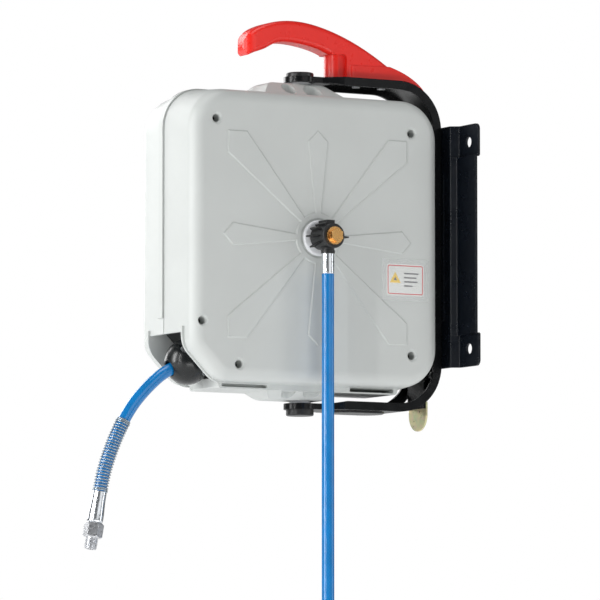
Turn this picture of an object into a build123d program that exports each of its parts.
"""Enclosed spring-return air hose reel in a swivelling wall bracket.

Everything is drawn in millimetres about the drum axis: X points to the wall, Y points to the back
of the casing, Z points up. save() moves each piece so that the origin is the centre of the four
wall bolts, on the wall's face.
"""
from build123d import *
from math import atan2, cos, degrees, pi, radians, sin, sqrt, tan
import os

os.makedirs("parts", exist_ok=True)

# ---- driving dimensions (mm) ----
HUB_TO_WALL = 172.0          # drum axis to wall face
CASE_W = 285.0               # casing, along X
CASE_H = 290.0               # casing, along Z
CASE_FRONT = -54.0           # front face, Y
CASE_BACK = 54.0             # back face, Y
SEAM_Y = 3.0                 # where the two shells meet
CORNER_R = 40.0
FRONT_EDGE_R = 13.0
BACK_EDGE_R = 8.0
FLARE_X = 2.0                # the shells widen this much from face to seam, each side
FLARE_Z = 4.5                # and this much at the top and bottom
WALL = 3.0
MOUTH_CUT = 33.5             # legs of the 45 degree corner at the hose mouth
MOUTH_HALF_Y = 34.0          # half width of the mouth, along Y
MOUTH_TOP = -98.3
STAR_H = 1.2                 # relief of the star on both faces
PAD_H = 7.5                  # long pad on the casing's underside
BOSS_H = 15.5                # pivot boss
PIVOT_X = 10.0               # swivel axis, vertical

HOSE_R = 6.25
HOSE_BORE_R = 4.0
PACK_R = 95.0                # outside of the four full layers of wound hose
DRUM_CORE_R = 45.0
FLANGE_R = 118.0
DRUM_HALF = 31.25            # half of the width between the drum flanges
FLANGE_T = 3.0
SHAFT_R = 8.0
RUN_FIT = 0.05               # radial clearance of a running fit

ARM_TOP = 169.0              # outside of the bracket's arms, from the drum axis
LEG_X = 160.0                # outside of the bracket's leg
FRAME_CORNER_R = 49.0
FRAME_HALF_Y = 29.0
FRAME_T = 3.0
FLANGE_DEPTH = 8.6
EYE_R = 16.5
EYE_T = 6.0
BOLT_R = 5.0

PLATE_T = 2.5
PLATE_FACE_X = 161.0         # front of the wall plate's channel
PLATE_CHANNEL_Y = 44.4
PLATE_HALF_Y = 85.4
PLATE_HALF_Z = 123.5
EAR_Z = 91.0                 # the ears reach the wall beyond this height
WALL_HOLE_R = 5.5
WALL_HOLE_Y = 67.0
WALL_HOLE_Z = 105.5

INLET_Y = -74.0              # axis of the feed hose, in front of the casing
INLET_HOSE_TOP = -37.5
INLET_HOSE_LENGTH = 500.0
THREAD_R = 6.58              # G1/4 male thread, over the crests

BALL_X = -120.0
BALL_Z = -125.5
BALL_R = 23.0


# ---- helpers ----
def save(name, shape):
    """Move a piece to the wall frame and write it."""
    export_step(Pos(-HUB_TO_WALL, 0, 0) * shape, f"parts/{name}.step")


def slab(sketch, y0, y1):
    """A flat outline in X and Z, given thickness from y0 to y1."""
    return Pos(0, y1, 0) * extrude(Plane.XZ * sketch, amount=y1 - y0, dir=(0, -1, 0))


def rod_y(radius, y0, y1, x=0.0, z=0.0):
    return Pos(x, (y0 + y1) / 2, z) * Rot(90, 0, 0) * Cylinder(radius, y1 - y0)


def rod_z(radius, z0, z1, x=0.0, y=0.0):
    return Pos(x, y, (z0 + z1) / 2) * Cylinder(radius, z1 - z0)


def rod_x(radius, x0, x1, y=0.0, z=0.0):
    return Pos((x0 + x1) / 2, y, z) * Rot(0, 90, 0) * Cylinder(radius, x1 - x0)


def block(x0, x1, y0, y1, z0, z1):
    return Pos((x0 + x1) / 2, (y0 + y1) / 2, (z0 + z1) / 2) * Box(x1 - x0, y1 - y0, z1 - z0)


def tube_y(outer, inner, y0, y1, x=0.0, z=0.0):
    return rod_y(outer, y0, y1, x, z) - rod_y(inner, y0 - 1, y1 + 1, x, z)


def flipped(shape):
    """The same piece for the underside."""
    return mirror(shape, about=Plane.XY)


def along(start, direction, length):
    return (start[0] + length * cos(radians(direction)), start[1] + length * sin(radians(direction)))


def placed(shape, at, direction):
    """Turn a piece made along +Z so that +Z points at an angle in the XZ plane, and move it."""
    return Pos(at[0], 0, at[1]) * Rot(0, 90 - direction, 0) * shape


def route_radii(points):
    """The largest even radius at each corner of a route, from its two runs and its turn."""
    radii = []
    for before, here, after in zip(points, points[1:], points[2:]):
        first = (here - before).length
        second = (after - here).length
        turn = (here - before).get_angle(after - here)
        radii.append(0.45 * min(first, second) / tan(radians(turn) / 2))
    return radii


def route_path(name, points):
    radii = route_radii(points)
    print(name, "bend radii:", " ".join(f"{r:.0f}" for r in radii))
    return FilletPolyline(*points, radius=radii)


def route_tube(name, points, outer, inner=None):
    """A tube of a round section along straight runs joined by tangent arcs."""
    path = route_path(name, points)
    start = Plane(origin=path @ 0, z_dir=path % 0)
    section = Circle(outer)
    area = pi * outer**2
    if inner:
        section -= Circle(inner)
        area -= pi * inner**2
    tube = sweep(start * section, path=path)
    ratio = tube.volume / (area * path.length)
    print(name, f"length {path.length:.1f} mm, volume / (section x length) = {ratio:.4f}")
    return tube


def in_plane(points):
    """Points given as X and Z, in the plane of the swivel axis."""
    return [Vector(x, 0, z) for x, z in points]


# ---- casing ----
def case_outline(inset=0.0, flare=0.0):
    """The casing seen from the front, with its cut-off corner at the hose mouth."""
    w = CASE_W / 2 - inset + flare * FLARE_X
    h = CASE_H / 2 - inset + flare * FLARE_Z
    cut = MOUTH_CUT - inset * (2 - sqrt(2))
    r = CORNER_R - inset
    small = max(22.0 - inset, 2.0)
    points = [(-w, h), (w, h), (w, -h), (-w + cut, -h), (-w, -h + cut)]
    return make_face(FilletPolyline(*points, radius=[r, r, r, small, small], close=True))


def star(height):
    """Eight flat arms and a ring round the hub, raised from the face."""
    root = 25.0
    root_half = 3.6
    diagonal = Polygon(
        (root, -root_half), (131.2, -15.9), (147.1, 0), (131.2, 15.9), (root, root_half), align=None
    )
    straight = Polygon(
        (root, -root_half), (98.0, -11.8), (109.0, 0), (98.0, 11.8), (root, root_half), align=None
    )
    shape = Circle(root + 1)
    for turn in range(4):
        shape += Rot(0, 0, 90 * turn) * straight
        shape += Rot(0, 0, 90 * turn + 45) * diagonal
    return extrude(shape, amount=height, dir=(0, 0, 1), taper=42)


SCREW_PLACES = [(-116.0, 115.0), (110.0, 112.0), (110.0, -114.0), (-132.0, -88.0), (-90.0, -130.0)]
SCREW_WELL_R = 4.1
SCREW_BOSS_R = 6.8
SCREW_FLOOR_Y = -38.0
SCREW_R = 1.9
SPRING_BOLT_R = 79.0         # circle of the three screws that hold the spring housing
PAWL_PIVOT = (36.0, 64.0)
PAWL_PIN_R = 3.0
PAWL_LIFTED = -57.4          # direction of the pawl's arm when it is clear of the teeth


def pivot_boss():
    """The upper pivot's boss: narrow at its flat top, with two round scoops on each side."""
    top = CASE_H / 2
    flat = top + BOSS_H
    front_view = [(-54, top - WALL), (-50, top), (-34, flat), (29, flat), (47, top), (50, top - WALL)]
    side_view = [
        (-33, top - WALL), (-32, top + 1), (-13, flat), (13, flat), (32, top + 1), (33, top - WALL),
    ]
    boss = slab(make_face(FilletPolyline(*front_view, radius=[0, 4, 12, 5, 4, 0], close=True)), -33, 33)
    boss &= extrude(Plane.YZ * Polygon(*side_view, align=None), amount=60, both=True)
    for side in (-1, 1):
        boss -= rod_z(7.5, top + 1.5, flat + 2, -15.5, side * 22)
        boss -= rod_z(10, top + 1.5, flat + 2, 11, side * 25)
    return boss


def bottom_pad():
    """The long pad on the underside, drawn on the top: a slot at one end, a pocket at the other."""
    top = CASE_H / 2
    pad = top + PAD_H
    outline = [(-102, top - WALL), (-100.4, pad), (106, pad), (108, top - WALL)]
    solid = slab(make_face(FilletPolyline(*outline, radius=[0, 3, 3, 0], close=True)), -30, 30)
    slot = Pos(-71, 0, pad - 3) * Rot(90, 0, 0) * extrude(SlotOverall(52, 3), amount=7, both=True)
    for side in (-1, 1):
        solid -= Pos(0, side * 30, 0) * slot
        solid -= block(51, 102, min(side * 6, side * 31), max(side * 6, side * 31), top + 1.4, pad - 1.4)
    return solid


def shell_bosses(y0, y1, inner):
    bosses = None
    for x, z in SCREW_PLACES:
        boss = rod_y(SCREW_BOSS_R, y0, y1, x, z) - rod_y(inner, y0 - 1, y1 + 1, x, z)
        bosses = boss if bosses is None else bosses + boss
    return bosses


def mouth_cutter():
    """The opening through the left wall, the cut corner and the floor of the casing."""
    w = CASE_W / 2
    h = CASE_H / 2
    outline = Polygon(
        (-w - 8, MOUTH_TOP), (-w + 12, MOUTH_TOP), (-102.5, -h + 13), (-100.3, -h - 8), (-w - 8, -h - 8),
        align=None,
    )
    return slab(outline, -MOUTH_HALF_Y, MOUTH_HALF_Y)


def mouth_cheek(y0, y1):
    """A side wall of the mouth, a little proud of the casing."""
    cheek = slab(case_outline(-3.2), y0, y1) - slab(case_outline(24), y0 - 1, y1 + 1)
    return cheek & block(-160, -97, y0, y1, -160, -93)


def flared(inset, y_face, y_seam, edge_r):
    """The casing's outline carried from its face to the seam, widening, with a rounded face edge."""
    face = Pos(0, y_face, 0) * (Plane.XZ * case_outline(inset))
    seam = Pos(0, y_seam, 0) * (Plane.XZ * case_outline(inset, 1.0))
    solid = loft([face, seam], ruled=True)
    which = 0 if y_face < y_seam else -1
    return fillet(solid.edges().group_by(Axis.Y)[which], edge_r)


def shell_blank(front):
    """One half of the casing: its outside and its hollow."""
    face_y = CASE_FRONT if front else CASE_BACK
    edge_r = FRONT_EDGE_R if front else BACK_EDGE_R
    inward = 1 if front else -1
    outer = flared(0, face_y, SEAM_Y, edge_r)
    inner = flared(WALL, face_y + inward * WALL, SEAM_Y + inward, edge_r - WALL)
    return outer, inner


def front_shell():
    outer, inner = shell_blank(True)
    solid = outer - inner
    ends = block(-160, 160, CASE_FRONT, SEAM_Y, -170, 170)
    solid += (pivot_boss() & ends) + (flipped(pivot_boss() + bottom_pad()) & ends)
    solid += Pos(0, CASE_FRONT, 0) * Rot(90, 0, 0) * star(STAR_H)
    solid -= mouth_cutter()
    solid += mouth_cheek(-MOUTH_HALF_Y - 2.4, -MOUTH_HALF_Y)
    solid += shell_bosses(CASE_FRONT + 1, SEAM_Y, SCREW_R + RUN_FIT) & outer
    for x, z in SCREW_PLACES:
        solid -= rod_y(SCREW_WELL_R, CASE_FRONT - 5, SCREW_FLOOR_Y, x, z)
        solid -= Pos(x, CASE_FRONT + 0.8, z) * Rot(90, 0, 0) * Cone(SCREW_WELL_R, 6.6, 2.2)
    # hub: a boss for the bush and a groove round the white collar
    solid += rod_y(17, CASE_FRONT, -45)
    solid -= rod_y(11 + 0.02, CASE_FRONT - 2, -44)
    solid -= tube_y(20.0, 18.6, CASE_FRONT - 2, CASE_FRONT - 0.2)
    # post for the pawl
    solid += rod_y(7, CASE_FRONT + 1, -45.5, *PAWL_PIVOT)
    solid -= rod_y(PAWL_PIN_R + 0.01, -50, -40, *PAWL_PIVOT)
    return solid - pivot_holes()


def pivot_holes():
    """Holes for the two pivot bushes."""
    hole = rod_z(8.01, CASE_H / 2 - 6, CASE_H / 2 + BOSS_H + 2, PIVOT_X)
    return [hole, flipped(hole)]


def rear_shell():
    outer, inner = shell_blank(False)
    solid = outer
    # raised rim beside the seam; it stops above the mouth
    rim = slab(case_outline(-1.5, 1.0), SEAM_Y + 1.5, SEAM_Y + 12)
    rim = fillet(rim.edges().group_by(Axis.Y)[-1], 1.2)
    rim -= block(-160, -60, -60, 60, -160, -82)
    solid += rim
    solid -= slab(case_outline(-2, 1.0), SEAM_Y, SEAM_Y + 1.5) - slab(case_outline(1.2, 1.0), 0, 10)
    solid -= inner
    ends = block(-160, 160, SEAM_Y, CASE_BACK, -170, 170)
    solid += (pivot_boss() & ends) + (flipped(pivot_boss() + bottom_pad()) & ends)
    solid += Pos(0, CASE_BACK, 0) * Rot(-90, 0, 0) * star(STAR_H)
    solid -= mouth_cutter()
    solid += mouth_cheek(MOUTH_HALF_Y, MOUTH_HALF_Y + 2.4)
    solid += shell_bosses(SEAM_Y, CASE_BACK - 1, SCREW_R + RUN_FIT) & outer
    solid += rod_y(17, 49.5, CASE_BACK)
    solid -= rod_y(11 + 0.02, 40, CASE_BACK + 2)
    for angle in (90, 210, 330):
        x, z = along((0, 0), angle, SPRING_BOLT_R)
        solid += rod_y(5, 40.05, CASE_BACK - 1, x, z)
        solid -= rod_y(1.55, 39, 50, x, z)
    return solid - pivot_holes()


def screw_y(head_r, head_h, shank_r, y_head, length, x, z, toward=1):
    """A screw along Y: its head at y_head, its shank towards +Y or -Y, with a cross recess."""
    y1 = y_head + toward * head_h
    head = rod_y(head_r, min(y_head, y1), max(y_head, y1), x, z)
    y2 = y1 + toward * length
    shank = rod_y(shank_r, min(y1, y2), max(y1, y2), x, z)
    depth = head_h * 0.5
    mid = y_head + toward * depth / 2
    cross = Pos(x, mid, z) * (Box(head_r * 1.2, depth, head_r * 0.3) + Box(head_r * 0.3, depth, head_r * 1.2))
    return head + shank - cross


def casing_screws():
    return Compound([
        screw_y(3.8, 3.0, SCREW_R, SCREW_FLOOR_Y - 3.0, 62.0, x, z) for x, z in SCREW_PLACES
    ])


# ---- wall plate ----
def wall_plate():
    """Pressed hat section: a channel face, two sides and two flanges with ears that meet the wall."""
    wall_x = HUB_TO_WALL
    mid_back = wall_x - 2.6

    def half_section(back):
        face = PLATE_FACE_X
        foot_y = PLATE_CHANNEL_Y + 5
        outer = [
            (face, 0), (face, PLATE_CHANNEL_Y), (back - PLATE_T, foot_y), (back - PLATE_T, PLATE_HALF_Y),
            (back, PLATE_HALF_Y), (back, foot_y - 2), (face + PLATE_T, PLATE_CHANNEL_Y - 2),
            (face + PLATE_T, 0),
        ]
        return make_face(FilletPolyline(*outer, radius=[0, 2.5, 2.5, 0, 0, 4, 1, 0], close=True))

    middle = Pos(0, 0, -EAR_Z) * extrude(half_section(mid_back), amount=2 * EAR_Z)
    half = middle
    for z0 in (-PLATE_HALF_Z, EAR_Z - 1):
        half += Pos(0, 0, z0) * extrude(half_section(wall_x), amount=PLATE_HALF_Z - EAR_Z + 1)
    # the flange between the ears is a little narrower
    half -= block(150, 180, PLATE_HALF_Y - 1.2, PLATE_HALF_Y + 5, -EAR_Z, EAR_Z)
    ear_clip = extrude(
        Plane.YZ * RectangleRounded(2 * PLATE_HALF_Y, 2 * PLATE_HALF_Z, 6), amount=300, both=True
    )
    plate = (half + mirror(half, about=Plane.XZ)) & ear_clip
    for y in (-WALL_HOLE_Y, WALL_HOLE_Y):
        for z in (-WALL_HOLE_Z, WALL_HOLE_Z):
            plate -= rod_x(WALL_HOLE_R, 150, 190, y, z)
    for y in (-HOOK_Y, HOOK_Y):
        plate -= block(150, 168, y - 5, y + 5, HOOK_Z - 9, HOOK_Z + 5.5)
    plate -= block(150, 168, -10, 10, CATCH_Z - 7, CATCH_Z + 2.2)
    # two pressed ribs
    for y in (-30, 30):
        plate += Pos(PLATE_FACE_X + 0.9, y, 0) * fillet(Box(3.4, 6, 150).edges().filter_by(Axis.Y), 1.2)
    return plate


HOOK_Y = 17.0
HOOK_Z = 95.0
CATCH_Z = -110.5             # middle height of the latch's nose


# ---- swivel frame ----
def c_band(depth0, depth1, half_y):
    """The band between two depths below the bracket's outside, for both arms and the leg."""
    outer_r = FRAME_CORNER_R

    def c_outline(depth):
        x = LEG_X - depth
        z = ARM_TOP - depth
        r = max(outer_r - depth, 0.1)
        corners = [(-40, z), (x, z), (x, -z), (-40, -z)]
        return make_face(FilletPolyline(*corners, radius=[0, r, r, 0], close=True))

    return slab(c_outline(depth0) - c_outline(depth1), -half_y, half_y)


def arm_plan(inset=0.0):
    """The arm seen from above: a round eye, a neck and the full width."""
    neck = 15.0 - inset
    full = FRAME_HALF_Y - inset
    body = Polygon(
        (PIVOT_X, -neck), (28, -neck), (46, -full), (LEG_X - inset, -full), (LEG_X - inset, full),
        (46, full), (28, neck), (PIVOT_X, neck), align=None,
    )
    return body + Pos(PIVOT_X, 0) * Circle(EYE_R - inset)


def swivel_frame():
    plan = Pos(0, 0, -200) * extrude(arm_plan(), amount=400)
    inner_plan = Pos(0, 0, -200) * extrude(arm_plan(FRAME_T), amount=400)
    # the leg is cut free of the plan's inner end by reaching past it
    inner_y = FRAME_HALF_Y - FRAME_T
    inner_plan += block(LEG_X - FRAME_T - 1, LEG_X + 20, -inner_y, inner_y, -200, 200)
    shell = c_band(0, FLANGE_DEPTH, 60) & plan
    hollow = c_band(FRAME_T, FLANGE_DEPTH + 5, 60) & inner_plan
    frame = shell - hollow
    for side in (1, -1):
        # side flanges grow from the neck to full depth along each arm
        edge = ARM_TOP - FLANGE_DEPTH - 0.1
        trim = Polygon(
            (-20, ARM_TOP - EYE_T), (34, ARM_TOP - EYE_T), (50, edge), (100, edge), (100, 120), (-20, 120),
            align=None,
        )
        cutter = slab(trim, -60, 60)
        frame -= cutter if side == 1 else flipped(cutter)
        eye = rod_z(EYE_R, ARM_TOP - EYE_T, ARM_TOP, PIVOT_X)
        eye += block(PIVOT_X, 40, -12.5, 12.5, ARM_TOP - EYE_T, ARM_TOP)
        frame += eye if side == 1 else flipped(eye)
    # pressed pad under the lower arm
    pad = Pos(75, 0, -ARM_TOP - 2.2) * extrude(SlotOverall(62, 38), amount=6)
    pad = fillet(pad.edges().group_by(Axis.Z)[0], 1.8)
    frame += pad & block(0, 150, -30, 30, -ARM_TOP - 4, -ARM_TOP + 1)
    frame -= Pos(75, 0, -ARM_TOP + 0.4) * extrude(SlotOverall(56, 32), amount=6)
    for side in (1, -1):
        hole = rod_z(BOLT_R + 0.02, 150, 175, PIVOT_X)
        frame -= hole if side == 1 else flipped(hole)
    for x in HANDLE_SCREWS_X:
        frame -= rod_z(2.6, 150, 175, x)
    # slots for the catch and for the release lever, and ears round the lever's pin
    frame -= block(150, 165, -10, 10, CATCH_Z - 10, CATCH_Z + 2.6)
    frame -= block(132.0, 153.0, -18.5, 18.5, -172, -144)
    for y0, y1 in ((-FRAME_HALF_Y, -inner_y), (inner_y, FRAME_HALF_Y)):
        frame += rod_y(4.6, y0, y1, *LATCH_PIVOT)
    frame -= rod_y(LATCH_PIN_R + 0.01, -40, 40, *LATCH_PIVOT)
    return frame


HANDLE_SCREWS_X = (76.0, 106.0)
LATCH_PIVOT = (151.3, -131.0)
LATCH_PIN_R = 1.8


def hanger_hooks():
    """Two hooks on the back of the leg that drop behind the wall plate's face."""
    hooks = []
    for y in (-HOOK_Y, HOOK_Y):
        outline = Polygon(
            (LEG_X + 0.02, HOOK_Z - 12), (LEG_X + 0.02, HOOK_Z + 4), (167.5, HOOK_Z + 4), (169.5, HOOK_Z + 1),
            (169.5, HOOK_Z - 8), (168, HOOK_Z - 10), (165.5, HOOK_Z - 8), (165.5, HOOK_Z - 2),
            (PLATE_FACE_X - 0.15, HOOK_Z - 2), (PLATE_FACE_X - 0.15, HOOK_Z - 12), align=None,
        )
        hooks.append(Pos(0, y, 0) * slab(outline, -2, 2))
    return Compound(hooks)


def carry_handle():
    """An open hook-shaped grip on a foot that follows the bracket's upper corner."""
    seat = ARM_TOP + 0.1
    foot = (40.0, 192.6)
    kink = (109.0, 184.6)
    top = Spline(
        (-54.5, 187.5), (-59.8, 197), (-54, 209.4), (-40, 218.2), (-8, 225), (39.3, 218.1), (80, 201.6),
        kink,
    )
    under = Spline(
        foot, (29, 197.0), (15, 200.4), (-8, 203), (-24, 201), (-36.5, 194.6), (-46.5, 191),
        (-54.5, 187.5),
    )
    outline = [top, Line(kink, (109, seat)), Line((109, seat), (40, seat)), Line((40, seat), foot), under]
    grip = slab(make_face(outline), -13, 13)
    seat_r = FRAME_CORNER_R + 0.1
    corner = (LEG_X - FRAME_CORNER_R, ARM_TOP - FRAME_CORNER_R)
    end = along(corner, 40, seat_r)
    middle = along(corner, 66, seat_r)
    base = [
        Line((60, seat), (60, 183.0)),
        Line((60, 183.0), kink),
        Spline(kink, (121, 180.6), (134, 174.4), (146, 165.4), (152.5, 156.5)),
        Line((152.5, 156.5), end),
        ThreePointArc(end, middle, (corner[0], seat)),
        Line((corner[0], seat), (60, seat)),
    ]
    foot_block = slab(make_face(base), -15, 15)
    return grip, foot_block


def handle():
    grip, foot_block = carry_handle()
    foot_block = fillet(foot_block.edges().filter_by(Axis.Z).group_by(Axis.X)[0], 5.0)
    grip = fillet([e for e in grip.edges() if e.geom_type == GeomType.BSPLINE], 5.5)
    # round seen from above: the tip of the grip and the end of its column
    grip -= block(-80, -47.5, -20, 20, 160, 240) - rod_z(13.0, 150, 250, -47.5)
    grip -= block(30, 53, -20, 20, 160, 193.6) - rod_z(12.9, 150, 250, 53)
    foot_block = fillet([e for e in foot_block.edges() if e.geom_type == GeomType.BSPLINE], 2.5)
    solid = grip + foot_block
    for side in (-1, 1):
        solid -= Pos(53.2, side * 15, 181.6) * fillet(Box(9.4, 13, 24.8).edges().filter_by(Axis.Y), 4)
    for x in HANDLE_SCREWS_X:
        solid -= rod_z(2.1, 160, 182 if x < 100 else 180, x)
    return solid


def handle_screws():
    screws = []
    for x in HANDLE_SCREWS_X:
        z_head = ARM_TOP - FRAME_T
        head = rod_z(4.2, z_head - 3.4, z_head - 0.02, x)
        head -= Pos(x, 0, z_head - 3.0) * (Box(5.5, 1.3, 2) + Box(1.3, 5.5, 2))
        screws.append(head + rod_z(2.05, z_head - 0.1, z_head + 13, x))
    return Compound(screws)


def pivot_bolts():
    """Upper and lower pivot bolts: the shank turns in the casing's bush."""
    upper = rod_z(BOLT_R, CASE_H / 2 + 0.6, ARM_TOP + 0.6, PIVOT_X)
    upper += rod_z(8.0, ARM_TOP + 0.02, ARM_TOP + 1.6, PIVOT_X)
    return Compound([upper, flipped(upper)])


def pivot_caps():
    caps = []
    for height, side in ((4.5, 1), (6.4, -1)):
        cap = rod_z(14, ARM_TOP + 0.02, ARM_TOP + height, PIVOT_X)
        cap = fillet(cap.edges().group_by(Axis.Z)[-1], 1.4)
        cap -= rod_z(8.1, ARM_TOP - 1, ARM_TOP + 1.7, PIVOT_X)
        caps.append(cap if side == 1 else flipped(cap))
    return Compound(caps)


def pivot_washers():
    washer = rod_z(11, CASE_H / 2 + BOSS_H + 1.1, ARM_TOP - EYE_T - 0.02, PIVOT_X)
    washer -= rod_z(BOLT_R + 0.1, 150, 170, PIVOT_X)
    return Compound([washer, flipped(washer)])


def pivot_bushes():
    z0 = CASE_H / 2 - 2
    z1 = CASE_H / 2 + BOSS_H
    bush = rod_z(8.0, z0, z1, PIVOT_X) + rod_z(10.5, z1 + 0.02, z1 + 0.8, PIVOT_X)
    bush += rod_z(8.0, z1 - 1, z1 + 0.5, PIVOT_X)
    bush -= rod_z(BOLT_R + RUN_FIT, z0 + 1.5, z1 + 5, PIVOT_X)
    return Compound([bush, flipped(bush)])


# ---- release latch ----
def release_lever():
    """The thumb tab below the bracket: a sheet with a wide round end, riveted to the catch."""
    outline = Pos(0, -169.5) * Circle(17) + Pos(0, -163.2) * Rectangle(34, 12.4)
    tab = Pos(149.45, 0, 0) * extrude(Plane.YZ * outline, amount=1, both=True)
    for y in (-7, 7):
        tab -= rod_x(1.7, 140, 160, y, -160.5)
    return tab


def latch_catch():
    """The latch on its cross pin: a barbed nose above, a skirt and two rivets for the tab below."""
    px, pz = LATCH_PIVOT
    catch = rod_y(3.8, -16, 16, px, pz)
    catch += block(151.6, 153.6, -8, 8, pz, CATCH_Z + 1.2)
    catch += block(151.6, 168.0, -8, 8, CATCH_Z - 1.2, CATCH_Z + 1.2)
    catch += block(165.6, 168.0, -8, 8, CATCH_Z, CATCH_Z + 4.4)
    catch += block(146.4, 148.4, -16, 16, -164, -137) + block(147.6, 148.4, -16, 16, -138, pz)
    for y in (-7, 7):
        catch += rod_x(1.65, 147, 151, y, -160.5) + rod_x(2.8, 150.5, 151.3, y, -160.5)
    return catch - rod_y(LATCH_PIN_R + RUN_FIT, -40, 40, px, pz)


def latch_pin():
    px, pz = LATCH_PIVOT
    pin = rod_y(LATCH_PIN_R, -FRAME_HALF_Y - 0.6, FRAME_HALF_Y + 0.6, px, pz)
    return pin + rod_y(3.2, -FRAME_HALF_Y - 2.0, -FRAME_HALF_Y - 0.02, px, pz)


def ring_stack(radius, wire_r, turns, pitch, y0, x, z):
    """Close-wound turns of a small spring, as separate rings joined by a thin bar."""
    spring = None
    for turn in range(turns):
        ring = Pos(x, y0 + turn * pitch, z) * Rot(90, 0, 0) * Torus(radius, wire_r)
        spring = ring if spring is None else spring + ring
    bar = rod_y(wire_r * 0.7, y0, y0 + (turns - 1) * pitch, x, z + radius)
    return spring + bar


def latch_spring():
    px, pz = LATCH_PIVOT
    return ring_stack(2.9, 0.45, 6, 1.1, 17.5, px, pz)


# ---- hub and inlet ----
def front_bush():
    """White collar and bearing of the drum shaft in the front shell."""
    bush = rod_y(11.0, CASE_FRONT - 2, -45)
    collar = rod_y(18.0, CASE_FRONT - 4.0, CASE_FRONT - STAR_H - 0.02)
    collar = fillet(collar.edges().group_by(Axis.Y)[0], 2.4)
    return bush + collar - rod_y(SHAFT_R + RUN_FIT, -70, -40)


def rear_bush():
    bush = rod_y(11.0, 49.6, CASE_BACK + 2)
    cap = rod_y(18.0, CASE_BACK + STAR_H + 0.02, CASE_BACK + 4.0)
    cap = fillet(cap.edges().group_by(Axis.Y)[-1], 2.0)
    return bush + cap - rod_y(SHAFT_R + RUN_FIT, 40, 52.5)


SWIVEL_BACK = -60.0
SWIVEL_FRONT = -86.5
SPIGOT_R = 5.5


def drum_shaft():
    shaft = rod_y(SHAFT_R, SWIVEL_BACK + 0.4, 52.0)
    shaft += rod_y(SPIGOT_R, -84.0, SWIVEL_BACK + 1)
    shaft -= rod_y(3.2, -90, 24)
    shaft -= rod_x(3.0, -1, 12, 20.0, 0)
    for y in SEAL_YS:
        shaft -= tube_y(SPIGOT_R + 1, 3.9, y - 1.1, y + 1.1)
    for y in CIRCLIP_YS:
        shaft -= tube_y(SHAFT_R + 1, 7.2, y - 0.6, y + 0.6)
    return shaft


SEAL_YS = (-65.0, -81.5)
CIRCLIP_YS = (-43.5, 47.8)


def shaft_seals():
    return Compound([Pos(0, y, 0) * Rot(90, 0, 0) * Torus(4.72, 0.78) for y in SEAL_YS])


def shaft_circlips():
    clips = []
    for y in CIRCLIP_YS:
        clip = tube_y(10.2, 7.3, y - 0.5, y + 0.5) - block(-2, 2, y - 1, y + 1, -12, 0)
        clips.append(clip)
    return Compound(clips)


def radial_rib(angle, reach, width, y0, y1):
    rib = block(8, reach, y0, y1, -width / 2, width / 2)
    return Rot(0, -angle, 0) * rib


def swivel_body():
    body = rod_y(12.5, SWIVEL_FRONT, SWIVEL_BACK)
    body = fillet(body.edges().group_by(Axis.Y)[0], 1.2)
    body += rod_z(6.35, -14.2, 0, 0, INLET_Y)
    body += rod_z(7.15, -17.0, -14.0, 0, INLET_Y)
    ribs = (
        (180, 21.4, 1.6, -79, -67), (0, 21.4, 1.6, -79, -67), (212, 20.6, 1.6, -78, -68),
        (150, 17.2, 1.8, -80, -64), (122, 15.2, 1.8, -82, -63), (90, 16.4, 9.0, -80, -63),
        (30, 14.6, 1.8, -82, -63),
    )
    for angle, reach, width, y0, y1 in ribs:
        body += radial_rib(angle, reach, width, y0, y1)
    body -= rod_y(SPIGOT_R + RUN_FIT, -84.3, SWIVEL_BACK + 1)
    body -= rod_y(6.02, SWIVEL_FRONT - 1, -84.29)
    body -= rod_z(3.2, -20, 0, 0, INLET_Y)
    return body


def swivel_plug():
    plug = rod_y(6.0, SWIVEL_FRONT, -84.6) + rod_y(9.0, SWIVEL_FRONT - 2.2, SWIVEL_FRONT - 0.02)
    plug = plug + rod_y(6.0, SWIVEL_FRONT - 1, SWIVEL_FRONT)
    hexagon = slab(Rot(0, 0, 30) * RegularPolygon(6.25, 6, major_radius=False), -93.4, SWIVEL_FRONT - 2.1)
    dome = Pos(0, -93.4 + 24.0, 0) * Sphere(24.9)
    return plug + (hexagon & dome)


def inlet_ferrule():
    ferrule = rod_z(6.55, INLET_HOSE_TOP, -17.2, 0, INLET_Y)
    return fillet(ferrule.edges().group_by(Axis.Z)[0], 0.6) - rod_z(3.2, -50, 0, 0, INLET_Y)


def inlet_hose():
    bottom = INLET_HOSE_TOP - INLET_HOSE_LENGTH
    return rod_z(HOSE_R, bottom, INLET_HOSE_TOP, 0, INLET_Y) - rod_z(HOSE_BORE_R, bottom - 1, 0, 0, INLET_Y)


def ferrule(length):
    """Smooth sleeve along +Z that widens from the hose to the hexagon."""
    sleeve = Cone(6.9, 7.9, length, align=(Align.CENTER, Align.CENTER, Align.MIN))
    sleeve = fillet(sleeve.edges().group_by(Axis.Z)[-1], 0.8)
    return sleeve - Cylinder(3.4, 200)


def male_end(hex_length, thread_length):
    """A hexagon and a G1/4 male thread along +Z, bored through."""
    hexagon = extrude(RegularPolygon(8.5, 6, major_radius=False), amount=hex_length)
    neck = Pos(0, 0, hex_length - 0.01) * Cylinder(5.6, 1.6, align=(Align.CENTER, Align.CENTER, Align.MIN))
    thread = Cylinder(THREAD_R, thread_length, align=(Align.CENTER, Align.CENTER, Align.MIN))
    end = hexagon + neck + Pos(0, 0, hex_length + 1.5) * thread
    return end - Cylinder(3.4, 200)


# ---- service hose ----
SERVICE_ROUTE = in_plane([
    (BALL_X, BALL_Z), (-143.0, -134.0), (-165.0, -152.0), (-184.5, -173.5), (-199.5, -200.5),
    (-208.5, -222.0), (-215.2, -242.1), (-218.1, -257.8),
])
FERRULE_LENGTH = 31.8
HEX_LENGTH = 15.0
THREAD_LENGTH = 10.0


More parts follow.
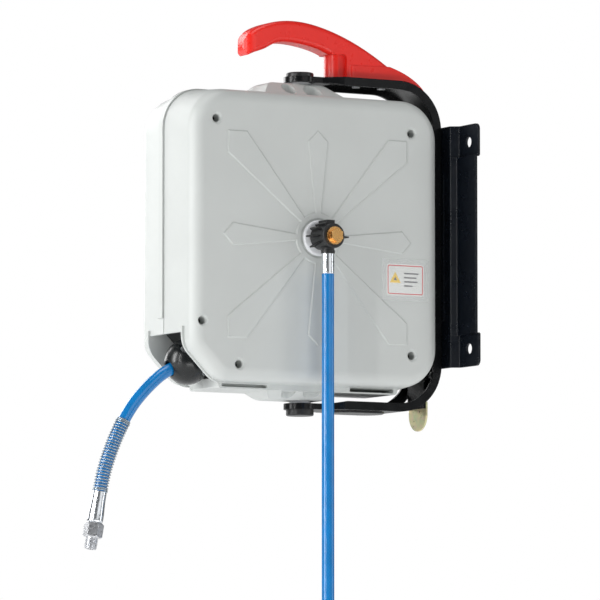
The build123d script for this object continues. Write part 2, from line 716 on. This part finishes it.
def heading(start, end):
    """The direction from one point of a route to another, in degrees in the XZ plane."""
    return degrees(atan2(end.Z - start.Z, end.X - start.X))


BORE_DIRECTION = heading(SERVICE_ROUTE[0], SERVICE_ROUTE[1])
END_DIRECTION = heading(SERVICE_ROUTE[-2], SERVICE_ROUTE[-1])
# from the wound hose's lowest turn to the ball, straight through the ball's bore
FEED_ROUTE = in_plane([(18.1, -100.65), along((BALL_X, BALL_Z), BORE_DIRECTION, -38.0), (BALL_X, BALL_Z)])


def spring_guard():
    """Outer envelope of the bend-relief spring: a sleeve round the last stretch of the hose."""
    start = (SERVICE_ROUTE[3] + SERVICE_ROUTE[4]) * 0.5
    points = [start, *SERVICE_ROUTE[4:]]
    path = FilletPolyline(*points, radius=route_radii(SERVICE_ROUTE)[3:])
    section = Plane(origin=path @ 0, z_dir=path % 0) * (Circle(7.5) - Circle(HOSE_R + 0.05))
    return sweep(section, path=path)


def ball_halves():
    """Stop ball in two halves, split on the hose's plane and clamped on the hose."""
    bore = placed(Cylinder(HOSE_R, 80), (BALL_X, BALL_Z), BORE_DIRECTION)
    flare_at = along((BALL_X, BALL_Z), BORE_DIRECTION, 18.0)
    flare = placed(Cone(HOSE_R, HOSE_R + 2.4, 14), flare_at, BORE_DIRECTION)
    ball = Pos(BALL_X, 0, BALL_Z) * Sphere(BALL_R) - [bore, flare]
    screws_cut = None
    for x, z in BALL_SCREWS:
        cut = rod_y(2.05, -30, 16, x, z) + rod_y(3.7, -30, -12, x, z)
        screws_cut = cut if screws_cut is None else screws_cut + cut
    ball -= screws_cut
    front = ball & block(-160, -80, -30, -0.1, -160, -90)
    back = ball & block(-160, -80, 0.1, 30, -160, -90)
    return front, back


BALL_SCREWS = [(BALL_X - 11.0, BALL_Z + 11.0), (BALL_X + 11.0, BALL_Z - 11.0)]


def ball_screws():
    return Compound([screw_y(3.6, 2.6, 2.0, -14.6, 26.0, x, z) for x, z in BALL_SCREWS])


def hose_guide():
    """Moulded insert behind the mouth: the ball stops on its round seat."""
    outward = 225.0
    insert = fillet(Box(45.0, 2 * MOUTH_HALF_Y - 0.4, 9).edges().filter_by(Axis.Z), 4)
    centre = along(along((BALL_X, BALL_Z), outward, -21.5), 135, 5.4)
    insert = placed(insert, centre, outward)
    seat = placed(Cone(16.0, HOSE_R + 2.5, 9.2), along((BALL_X, BALL_Z), outward, -21.5), outward + 180)
    bore = placed(Cylinder(HOSE_R + 2.5, 120), (BALL_X, BALL_Z), BORE_DIRECTION - 4)
    return insert - [seat, bore]


# ---- drum ----
def drum_flange(front):
    disc = tube_y(FLANGE_R, 16.1, DRUM_HALF, DRUM_HALF + FLANGE_T)
    disc += tube_y(FLANGE_R, FLANGE_R - 3, DRUM_HALF - 1.0, DRUM_HALF + FLANGE_T)
    for step in range(6):
        angle = 60 * step + 30
        x, z = along((0, 0), angle, 42.5)
        disc -= rod_y(1.75, 0, 60, x, z)
        window_x, window_z = along((0, 0), angle, 82)
        disc -= rod_y(11, 0, 60, window_x, window_z)
    return mirror(disc, about=Plane.XZ) if front else disc


def drum_core():
    core = tube_y(DRUM_CORE_R, DRUM_CORE_R - 5, -DRUM_HALF + 0.02, DRUM_HALF - 0.02)
    core += tube_y(16.0, SHAFT_R, -DRUM_HALF - FLANGE_T, DRUM_HALF + FLANGE_T)
    core += tube_y(DRUM_CORE_R - 4, 15, -3, 3)
    for step in range(6):
        x, z = along((0, 0), 60 * step + 30, 42.5)
        core -= rod_y(1.65, -60, 60, x, z)
    core -= rod_x(5.3, 9, 60, 20.0, 0)
    return core


def flange_screws():
    screws = []
    for step in range(6):
        x, z = along((0, 0), 60 * step + 30, 42.5)
        for toward in (-1, 1):
            y_head = toward * (DRUM_HALF + FLANGE_T + 1.3)
            screws.append(screw_y(2.8, 1.28, 1.6, y_head, 12.0, x, z, -toward))
    return Compound(screws)


TEETH = 12
RATCHET_PHASE = 16.5         # degrees; puts a gap under the pawl's tip with the hose fully wound


def ratchet_ring():
    """Saw-toothed ring on the front flange; each steep face stops the drum from winding in."""
    tip = 62.0
    root = 55.0
    points = []
    for tooth in range(TEETH):
        start = 360 / TEETH * tooth + RATCHET_PHASE
        points.append(along((0, 0), start, root))
        points.append(along((0, 0), start + 13, tip))
        points.append(along((0, 0), start + 16, tip))
        points.append(along((0, 0), start + 17, root))
    y1 = -DRUM_HALF - FLANGE_T
    ring = slab(Polygon(*points, align=None), y1 - 4.6, y1 - 0.02)
    return ring - rod_y(46.5, -60, 0)


def drum_elbow():
    """Brass elbow from the hollow shaft to the start of the hose, through the drum's core."""
    elbow = rod_x(5.0, SHAFT_R + 1.0, DRUM_CORE_R - 0.3, 20.0, 0)
    nut = Pos(24, 20.0, 0) * Rot(0, 90, 0) * extrude(RegularPolygon(7, 6), amount=8)
    return elbow + nut - rod_x(2.8, 0, 60, 20.0, 0)


def wound_hose():
    """Four full layers of hose and two turns of the fifth, side by side on the drum."""
    step = 2 * HOSE_R
    top_row = PACK_R - HOSE_R
    width = DRUM_HALF - 1.1
    section = Pos((DRUM_CORE_R + 0.1 + top_row) / 2, 0) * Rectangle(top_row - DRUM_CORE_R - 0.1, 2 * width)
    rows = [(top_row, turn * (step - 0.4)) for turn in range(-2, 3)]
    rows += [(top_row + step - 0.1, -23.8), (top_row + step - 0.1, -13.0)]
    section += Pos(top_row + step / 2, -18.4) * Rectangle(step, 10)
    for radius, y in rows:
        section += Pos(radius, y) * Circle(HOSE_R - 0.1)
    return revolve(section, Axis.Y)


def spring_arbor():
    arbor = tube_y(13.0, SHAFT_R, 37.6, 46.8)
    return arbor + (tube_y(14.0, SHAFT_R, 34.5, 37.0) + tube_y(13.0, SHAFT_R, 36.9, 37.7))


SPRING_CUP_R = 72.0


def spring_housing():
    """Cup that holds the rewind spring, fixed to the rear shell by three ears."""
    cup = rod_y(SPRING_CUP_R, 37.2, 48.0) - rod_y(SPRING_CUP_R - 2, 38.7, 50) - rod_y(15.0, 30, 50)
    for angle in (90, 210, 330):
        x, z = along((0, 0), angle, SPRING_BOLT_R)
        ear = block(SPRING_CUP_R - 1, SPRING_BOLT_R, 38.0, 40.0, -6, 6)
        ear = Rot(0, -angle, 0) * ear + rod_y(6, 38.0, 40.0, x, z)
        cup += ear - rod_y(1.7, 30, 50, x, z)
    return cup


def spring_cover():
    return tube_y(SPRING_CUP_R, 13.6, 48.02, 49.2)


def housing_screws():
    return Compound([
        screw_y(3.2, 1.6, 1.5, 36.38, 10.0, *along((0, 0), angle, SPRING_BOLT_R)) for angle in (90, 210, 330)
    ])


def power_spring():
    """Spiral strip from the arbor to the cup, drawn as half circles that step outwards."""
    strip = 1.3
    pitch = 5.6
    first = 13.9

    def spiral(offset):
        arcs = []
        radius = first + offset
        centre = 0.0
        side = 1
        for _ in range(19):
            start = (centre + side * radius, 0)
            new_radius = radius + pitch / 4
            end = (centre - side * (2 * new_radius - radius), 0)
            middle_x = (start[0] + end[0]) / 2
            half = abs(start[0] - end[0]) / 2
            arcs.append(ThreePointArc(start, (middle_x, side * half), end))
            centre = middle_x
            radius = half
            side = -side
        return arcs

    inner = spiral(0.0)
    outer = spiral(strip)
    ends = [Line(inner[0] @ 0, outer[0] @ 0), Line(inner[-1] @ 1, outer[-1] @ 1)]
    return slab(make_face([*inner, *outer, *ends]), 39.2, 47.6)


# ---- pawl ----
def pawl():
    """Lever drawn lifted clear of the ratchet; its tip drops between two teeth to hold the drum."""
    px, pz = PAWL_PIVOT
    outline = Polygon((-15, 2.2), (-4, 5.5), (4, 5.5), (20, 4.2), (31.3, 2.2), (31.3, -2.2), (20, -4.2),
                      (4, -5.5), (-4, -5.5), (-15, -2.2), align=None)
    plate = slab(Pos(px, pz) * Rot(0, 0, PAWL_LIFTED) * outline, -39.0, -35.2)
    plate += rod_y(6.5, -39.0, -35.2, px, pz)
    return plate - rod_y(PAWL_PIN_R + RUN_FIT, -60, -30, px, pz)


def pawl_pin():
    return rod_y(PAWL_PIN_R, -49.5, -34.7, *PAWL_PIVOT)


def pawl_spring():
    return ring_stack(4.0, 0.45, 4, 1.1, -44.0, *PAWL_PIVOT)


# ---- label ----
def label():
    return slab(Pos(102, -37.5) * RectangleRounded(44, 32, 3), CASE_FRONT - 0.35, CASE_FRONT - 0.01)


# ---- write every piece ----
def main():
    save("wall_plate", wall_plate())
    save("swivel_frame", swivel_frame())
    save("hanger_hooks", hanger_hooks())
    save("carry_handle", handle())
    save("handle_screws", handle_screws())
    save("pivot_bolts", pivot_bolts())
    save("pivot_caps", pivot_caps())
    save("pivot_washers", pivot_washers())
    save("pivot_bushes", pivot_bushes())
    save("release_lever", release_lever())
    save("latch_catch", latch_catch())
    save("latch_pin", latch_pin())
    save("latch_spring", latch_spring())
    save("front_shell", front_shell())
    save("rear_shell", rear_shell())
    save("casing_screws", casing_screws())
    save("label", label())
    save("front_bush", front_bush())
    save("rear_bush", rear_bush())
    save("hose_guide", hose_guide())
    ball_front, ball_back = ball_halves()
    save("stop_ball_front", ball_front)
    save("stop_ball_back", ball_back)
    save("ball_screws", ball_screws())
    save("feed_hose", route_tube("feed_hose", FEED_ROUTE, HOSE_R, HOSE_BORE_R))
    save("service_hose", route_tube("service_hose", SERVICE_ROUTE, HOSE_R, HOSE_BORE_R))
    save("spring_guard", spring_guard())
    hose_end = (SERVICE_ROUTE[-1].X, SERVICE_ROUTE[-1].Z)
    save("end_ferrule", placed(ferrule(FERRULE_LENGTH), hose_end, END_DIRECTION))
    fitting_at = along(hose_end, END_DIRECTION, FERRULE_LENGTH)
    save("end_fitting", placed(male_end(HEX_LENGTH, THREAD_LENGTH), fitting_at, END_DIRECTION))
    save("swivel_body", swivel_body())
    save("swivel_plug", swivel_plug())
    save("inlet_ferrule", inlet_ferrule())
    save("inlet_hose", inlet_hose())
    inlet_end = (0, INLET_HOSE_TOP - INLET_HOSE_LENGTH)
    save("inlet_end_ferrule", Pos(0, INLET_Y, 0) * placed(ferrule(FERRULE_LENGTH), inlet_end, 270))
    inlet_fitting_at = (0, inlet_end[1] - FERRULE_LENGTH)
    inlet_fitting = placed(male_end(HEX_LENGTH, THREAD_LENGTH), inlet_fitting_at, 270)
    save("inlet_end_fitting", Pos(0, INLET_Y, 0) * inlet_fitting)
    save("drum_shaft", drum_shaft())
    save("shaft_seals", shaft_seals())
    save("shaft_circlips", shaft_circlips())
    save("drum_core", drum_core())
    save("drum_flange_front", drum_flange(True))
    save("drum_flange_rear", drum_flange(False))
    save("flange_screws", flange_screws())
    save("ratchet_ring", ratchet_ring())
    save("drum_elbow", drum_elbow())
    save("wound_hose", wound_hose())
    save("spring_arbor", spring_arbor())
    save("spring_housing", spring_housing())
    save("spring_cover", spring_cover())
    save("housing_screws", housing_screws())
    save("power_spring", power_spring())
    save("pawl", pawl())
    save("pawl_pin", pawl_pin())
    save("pawl_spring", pawl_spring())


main()
